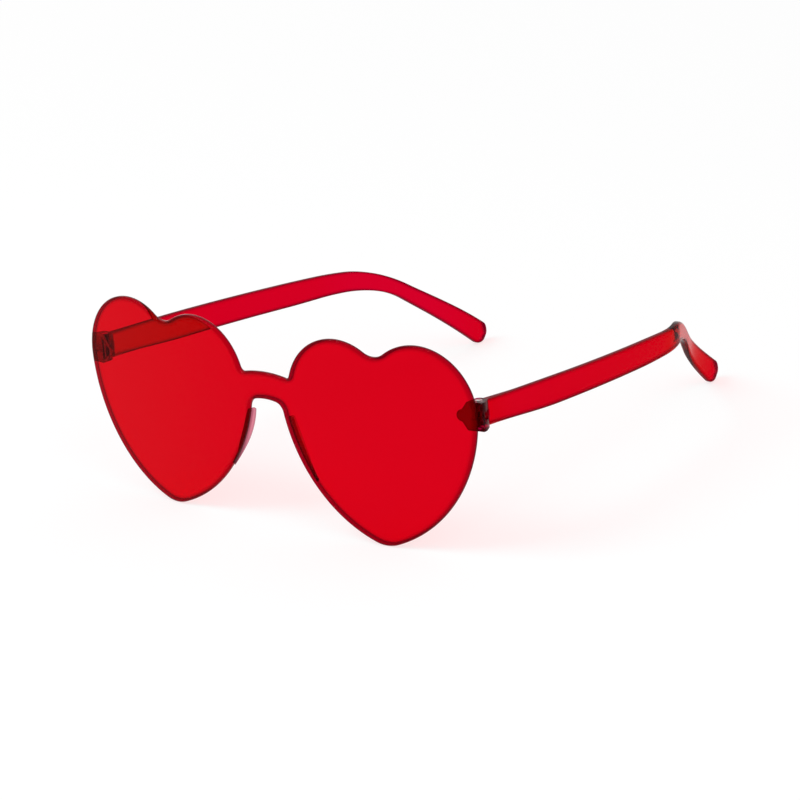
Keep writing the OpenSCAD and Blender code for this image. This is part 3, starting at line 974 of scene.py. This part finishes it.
@dataclass
class Arm:
    """A moulded arm: a rounded bar with its bend, neck and paddle tip, and the hinge tongue."""

    side: Side
    material: bpy.types.Material
    end_ease: float = 0.18
    tip_thin: float = 0.9
    # How the painted edge shade spreads over the top, the underside and the round end
    edge_power: float = 1.5
    tip_shade_from: float = 0.86
    tip_shade_in: float = 0.12
    corner_steps: int = 8
    tongue_in: float = 0.4
    tongue_ease: float = 0.1
    tongue_steps: int = 120

    def bar(self, shell: Shell) -> None:
        """Adds the bar: a rounded rectangle carried from the seam to the tip.

        At each station the profile's height lies between the upper and lower edge. Its
        thickness lies along X, stretched by one over the cosine of the arm's direction, so
        that it is right when it is measured square to the arm. Both shrink a little at the
        seam, and to nothing at the tip.

        Args:
            shell: The mesh in the making.
        """
        top, low, into = PATH.edges()
        centre, up = (top + low) / 2, (top - low) / 2
        half_h = np.hypot(*up.T)
        up = up / half_h[:, None]
        half_t = PATH.plan(centre[:, 0])[2]
        # The profile starts a little smaller and reaches full size behind the seam
        grow = np.clip((centre[:, 0] - HINGE.root_y) / self.end_ease, 0.0, 1.0)
        ease = self.end_ease * (1.0 - np.sqrt(1.0 - (1.0 - grow) ** 2))
        half_h = half_h - ease
        half_t = (half_t - ease) * np.sqrt(1.0 - self.tip_thin * into**4)
        radius = np.full(len(top), ARM.edge_r) - ease
        across, high = round_profile(half_t, half_h, radius, self.corner_steps)
        y = centre[:, :1] + high * up[:, :1]
        z = centre[:, 1:] + high * up[:, 1:]
        x, angle, _ = PATH.plan(y)
        rings = np.stack([x + across / np.cos(angle), y, z], -1)
        rings[0, :, 1] = HINGE.root_y
        # The top and the underside are edges of the arm, and so are its two ends: all take the painted
        # edge shade
        corner = np.minimum(np.minimum(radius, half_t), half_h)[:, None]
        edge = np.clip((np.abs(high) - half_h[:, None] + corner) / corner, 0.0, 1.0)
        edge = edge**self.edge_power
        tip_dark = np.clip((into - self.tip_shade_from) / self.tip_shade_in, 0.0, 1.0)
        ends = np.maximum(1.0 - grow, tip_dark)
        edge = np.maximum(edge, ends[:, None])
        shell.grid(rings, edge, around=True)
        shell.cap(rings[0])
        shell.cap(rings[-1])

    def tongue(self, shell: Shell) -> None:
        """Adds the tongue: a closed profile carried round the screw hole.

        In each direction from the screw's axis the tongue reaches to the nearest of its flat
        sides, and no further than the knuckle's radius in the inner front quarter. The profile
        goes down the hole, out below, up the outside and back in above.

        Args:
            shell: The mesh in the making.
        """
        theta = np.linspace(0.0, TURN, self.tongue_steps, endpoint=False)
        c, s = np.cos(theta), np.sin(theta)
        k = ARM.knuckle_r
        out = HINGE.out_x - HINGE.axis_x
        back = HINGE.root_y - HINGE.axis_y + self.tongue_in
        tiny = 1e-9
        sides = [
            np.where(c > tiny, out / np.maximum(c, tiny), np.inf),
            np.where(c < -tiny, k / np.maximum(-c, tiny), np.inf),
            np.where(s > tiny, back / np.maximum(s, tiny), np.inf),
            np.where(s < -tiny, k / np.maximum(-s, tiny), np.inf),
        ]
        reach = np.minimum.reduce(sides)
        reach = np.where((c < 0) & (s < 0), np.minimum(reach, k), reach)
        hole = ARM.screw_r + ARM.fit
        half = ARM.slot_h / 2 - ARM.fit
        e = self.tongue_ease
        share = np.array([0.0, 0.0, 0.08, 0.5, 0.94, 1.0, 1.0, 0.94, 0.5, 0.08])
        height = np.array([
            half - e, -half + e, -half, -half, -half, -half + e, half - e, half, half, half
        ])
        radius = hole + (reach[None] - hole) * share[:, None]
        points = np.stack([
            HINGE.axis_x + radius * c, HINGE.axis_y + radius * s,
            ARM.hinge_z + height[:, None] + 0.0 * radius,
        ], -1)
        shell.grid(np.concatenate([points, points[:1]]), around=True)

    def make(self) -> bpy.types.Object:
        """Builds the arm from its bar and its tongue."""
        shell = Shell()
        self.bar(shell)
        self.tongue(shell)
        piece = shell.piece(f"arm_{self.side.word}", self.material, self.side is Side.RIGHT)
        piece.data.set_sharp_from_angle(angle=np.radians(50.0))
        return piece


# The studio


@dataclass(frozen=True)
class Camera:
    """Where the photograph was taken from, beside the upright drawing, in degrees and millimetres."""

    azimuth: float = 42.40
    elevation: float = 16.768
    roll: float = -4.425
    across: float = -34.564
    up: float = -34.714
    distance: float = 1200.0
    focal: float = 4324.5
    frame: float = 800.0
    sensor: float = 36.0

    def make(self) -> bpy.types.Object:
        """Creates the camera and makes it the scene's own."""
        a, e, r = np.radians([self.azimuth, self.elevation, self.roll])
        back = np.array([np.sin(a) * np.cos(e), -np.cos(a) * np.cos(e), np.sin(e)])
        right = np.array([np.cos(a), np.sin(a), 0.0])
        over = np.cross(back, right)
        right, over = np.cos(r) * right + np.sin(r) * over, np.cos(r) * over - np.sin(r) * right
        place = -self.across * right - self.up * over + self.distance * back
        pose = np.eye(4)
        pose[:3, :3] = STAND.turn() @ np.stack([right, over, back], -1)
        pose[:3, 3] = STAND.place(place)
        data = bpy.data.cameras.new("camera")
        data.sensor_width = self.sensor
        data.lens = self.focal / self.frame * self.sensor
        data.clip_start, data.clip_end = 0.05, 60.0
        camera = bpy.data.objects.new("camera", data)
        camera.matrix_world = Matrix(pose.tolist())
        bpy.context.scene.collection.objects.link(camera)
        bpy.context.scene.camera = camera
        return camera


@dataclass(frozen=True)
class Studio:
    """A pale floor in soft light on a white ground."""

    floor_size: float = 12.0
    floor_colour: float = 0.86
    lift: float = 0.68
    near: float = 0.25
    far: float = 0.9
    ambient: float = 0.62
    key_power: float = 26.0
    fill_power: float = 12.0

    def seen(self, tree: bpy.types.NodeTree) -> bpy.types.NodeSocket:
        """One where the camera, a reflection or a clear piece looks at the surface, else zero."""
        path = tree.nodes.new("ShaderNodeLightPath")
        first = tree.nodes.new("ShaderNodeMath")
        first.operation = "MAXIMUM"
        both = tree.nodes.new("ShaderNodeMath")
        both.operation = "MAXIMUM"
        tree.links.new(path.outputs["Is Camera Ray"], first.inputs[0])
        tree.links.new(path.outputs["Is Glossy Ray"], first.inputs[1])
        tree.links.new(first.outputs[0], both.inputs[0])
        tree.links.new(path.outputs["Is Transmission Ray"], both.inputs[1])
        return both.outputs[0]

    def floor(self) -> None:
        """A large pale floor at Z = 0 that keeps the soft shadow and is plain white further off."""
        h = self.floor_size / 2
        mesh = bpy.data.meshes.new("floor")
        mesh.from_pydata([(-h, -h, 0), (h, -h, 0), (h, h, 0), (-h, h, 0)], [], [(0, 1, 2, 3)])
        floor = bpy.data.objects.new("floor", mesh)
        bpy.context.scene.collection.objects.link(floor)
        material, tree, out = fresh("pale_floor")
        paint = node(tree, "ShaderNodeBsdfDiffuse", Color=(*[self.floor_colour] * 3, 1.0))
        glow = node(tree, "ShaderNodeEmission", Color=(1.0, 1.0, 1.0, 1.0), Strength=1.0)
        coords = tree.nodes.new("ShaderNodeTexCoord")
        reach = tree.nodes.new("ShaderNodeVectorMath")
        reach.operation = "LENGTH"
        tree.links.new(coords.outputs["Object"], reach.inputs[0])
        lift = node(
            tree, "ShaderNodeMapRange",
            From_Min=self.near, From_Max=self.far, To_Min=self.lift, To_Max=1.0,
        )
        tree.links.new(reach.outputs["Value"], lift.inputs["Value"])
        share = tree.nodes.new("ShaderNodeMath")
        share.operation = "MULTIPLY"
        tree.links.new(lift.outputs["Result"], share.inputs[1])
        tree.links.new(self.seen(tree), share.inputs[0])
        mix = tree.nodes.new("ShaderNodeMixShader")
        tree.links.new(share.outputs[0], mix.inputs["Fac"])
        tree.links.new(paint.outputs["BSDF"], mix.inputs[1])
        tree.links.new(glow.outputs["Emission"], mix.inputs[2])
        tree.links.new(mix.outputs["Shader"], out.inputs["Surface"])
        mesh.materials.append(material)

    def lamp(self, name: str, place: tuple[float, float, float], size: float, power: float) -> None:
        """A square soft lamp that looks at the sunglasses."""
        data = bpy.data.lights.new(name, "AREA")
        data.size = size
        data.energy = power
        lamp = bpy.data.objects.new(name, data)
        back = np.array(place) / np.linalg.norm(place)
        right = np.cross([0.0, 0.0, 1.0], back)
        right /= np.linalg.norm(right)
        pose = np.eye(4)
        pose[:3, :3] = np.stack([right, np.cross(back, right), back], -1)
        pose[:3, 3] = place
        lamp.matrix_world = Matrix(pose.tolist())
        bpy.context.scene.collection.objects.link(lamp)

    def world(self) -> None:
        """White where it is seen, and a plain level where it lights."""
        world = bpy.data.worlds.new("studio")
        bpy.context.scene.world = world
        world.use_nodes = True
        tree = world.node_tree
        tree.nodes.clear()
        out = tree.nodes.new("ShaderNodeOutputWorld")
        white = node(tree, "ShaderNodeBackground", Color=(1.0, 1.0, 1.0, 1.0), Strength=1.0)
        level = node(tree, "ShaderNodeBackground", Color=(1.0, 1.0, 1.0, 1.0), Strength=self.ambient)
        mix = tree.nodes.new("ShaderNodeMixShader")
        tree.links.new(self.seen(tree), mix.inputs["Fac"])
        tree.links.new(level.outputs["Background"], mix.inputs[1])
        tree.links.new(white.outputs["Background"], mix.inputs[2])
        tree.links.new(mix.outputs["Shader"], out.inputs["Surface"])

    def make(self) -> None:
        """Builds the floor, the lamps and the world."""
        self.floor()
        self.lamp("key", (-0.9, -1.0, 1.7), 1.2, self.key_power)
        self.lamp("fill", (1.4, -0.4, 1.3), 1.4, self.fill_power)
        self.world()
        bpy.context.scene.view_settings.view_transform = "Standard"


# Everything together


# In each finish below, the edge colour is the dark painted shade along the pieces' edges
SHEET_RED = ClearPlastic(
    name="sheet_red",
    tint=(0.71, 0.003, 0.055),
    shade=(0.985, 0.0, 0.385),
    density=1300.0,
    sheen_tint=(1.0, 0.05, 0.1),
    painted_edge_shade=(0.045, 0.0005, 0.018),
    ior=1.12,
    roughness=0.012,
    ripple=0.004,
    ripple_scale=25.0,
)
ARM_RED = ClearPlastic(
    name="arm_red",
    tint=(0.70, 0.003, 0.11),
    shade=(0.98, 0.0, 0.385),
    density=1000.0,
    sheen_tint=(1.0, 0.1, 0.2),
    painted_edge_shade=(0.045, 0.0005, 0.012),
    ior=1.055,
    roughness=0.05,
    ripple=0.03,
    ripple_scale=180.0,
)
PAD_RED = ClearPlastic(
    name="pad_red",
    tint=(0.90, 0.40, 0.48),
    shade=(0.96, 0.40, 0.55),
    density=300.0,
    sheen_tint=(1.0, 0.5, 0.6),
    painted_edge_shade=(0.12, 0.005, 0.03),
    ior=1.15,
    roughness=0.08,
    ripple=0.02,
    ripple_scale=300.0,
)
# The block's tint is darker and bluer than the sheet's: painted shade for the dark look its inner
# reflections give the real block
BLOCK_RED = ClearPlastic(
    name="block_red",
    tint=(0.30, 0.005, 0.08),
    shade=(0.98, 0.0, 0.60),
    density=800.0,
    sheen_tint=(1.0, 0.3, 0.5),
    painted_edge_shade=(0.20, 0.002, 0.05),
    ior=1.15,
    roughness=0.10,
    ripple=0.03,
    ripple_scale=300.0,
)


def settle(piece: bpy.types.Object, body: str, nodes: list[str]) -> bpy.types.Object:
    """Puts a finished piece on its body and in its nodes' place, and reports it.

    Args:
        piece: The piece.
        body: The body that it rides on.
        nodes: The nodes that it stands for.

    Returns:
        The piece.
    """
    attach(piece, body)
    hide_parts(*nodes)
    LOG.info("%s rides on %s with %d faces", piece.name, body, len(piece.data.polygons))
    return piece


def corners(box: tuple) -> list[list[float]]:
    """A box's two corners as plain lists."""
    return [[float(v) for v in corner] for corner in box]


def main() -> None:
    """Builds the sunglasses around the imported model, then the studio."""
    logging.basicConfig(level=logging.INFO, format="%(name)s: %(message)s")
    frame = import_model()
    Camera().make()
    sheet, arm, pad, block = (f.make() for f in (SHEET_RED, ARM_RED, PAD_RED, BLOCK_RED))
    steel = TurnedSteel().make()
    settle(HeartFront(FRONT, sheet).make(), "front", ["front_shield"])
    for side in Side:
        w = side.word
        settle(NoseFin(side, pad).make(), "front", [f"nose_pad_{w}"])
        solid = frame["nodes"][f"end_block_{w}"]
        settle(HingeBlock(side, solid, block).make(), "front", [f"end_block_{w}"])
        settle(HingeScrew(side, steel).make(), "front", [f"hinge_screw_{w}"])
        settle(Arm(side, arm).make(), f"temple_{w}", [f"temple_{w}"])
    Studio().make()


if __name__ == "__main__":
    main()
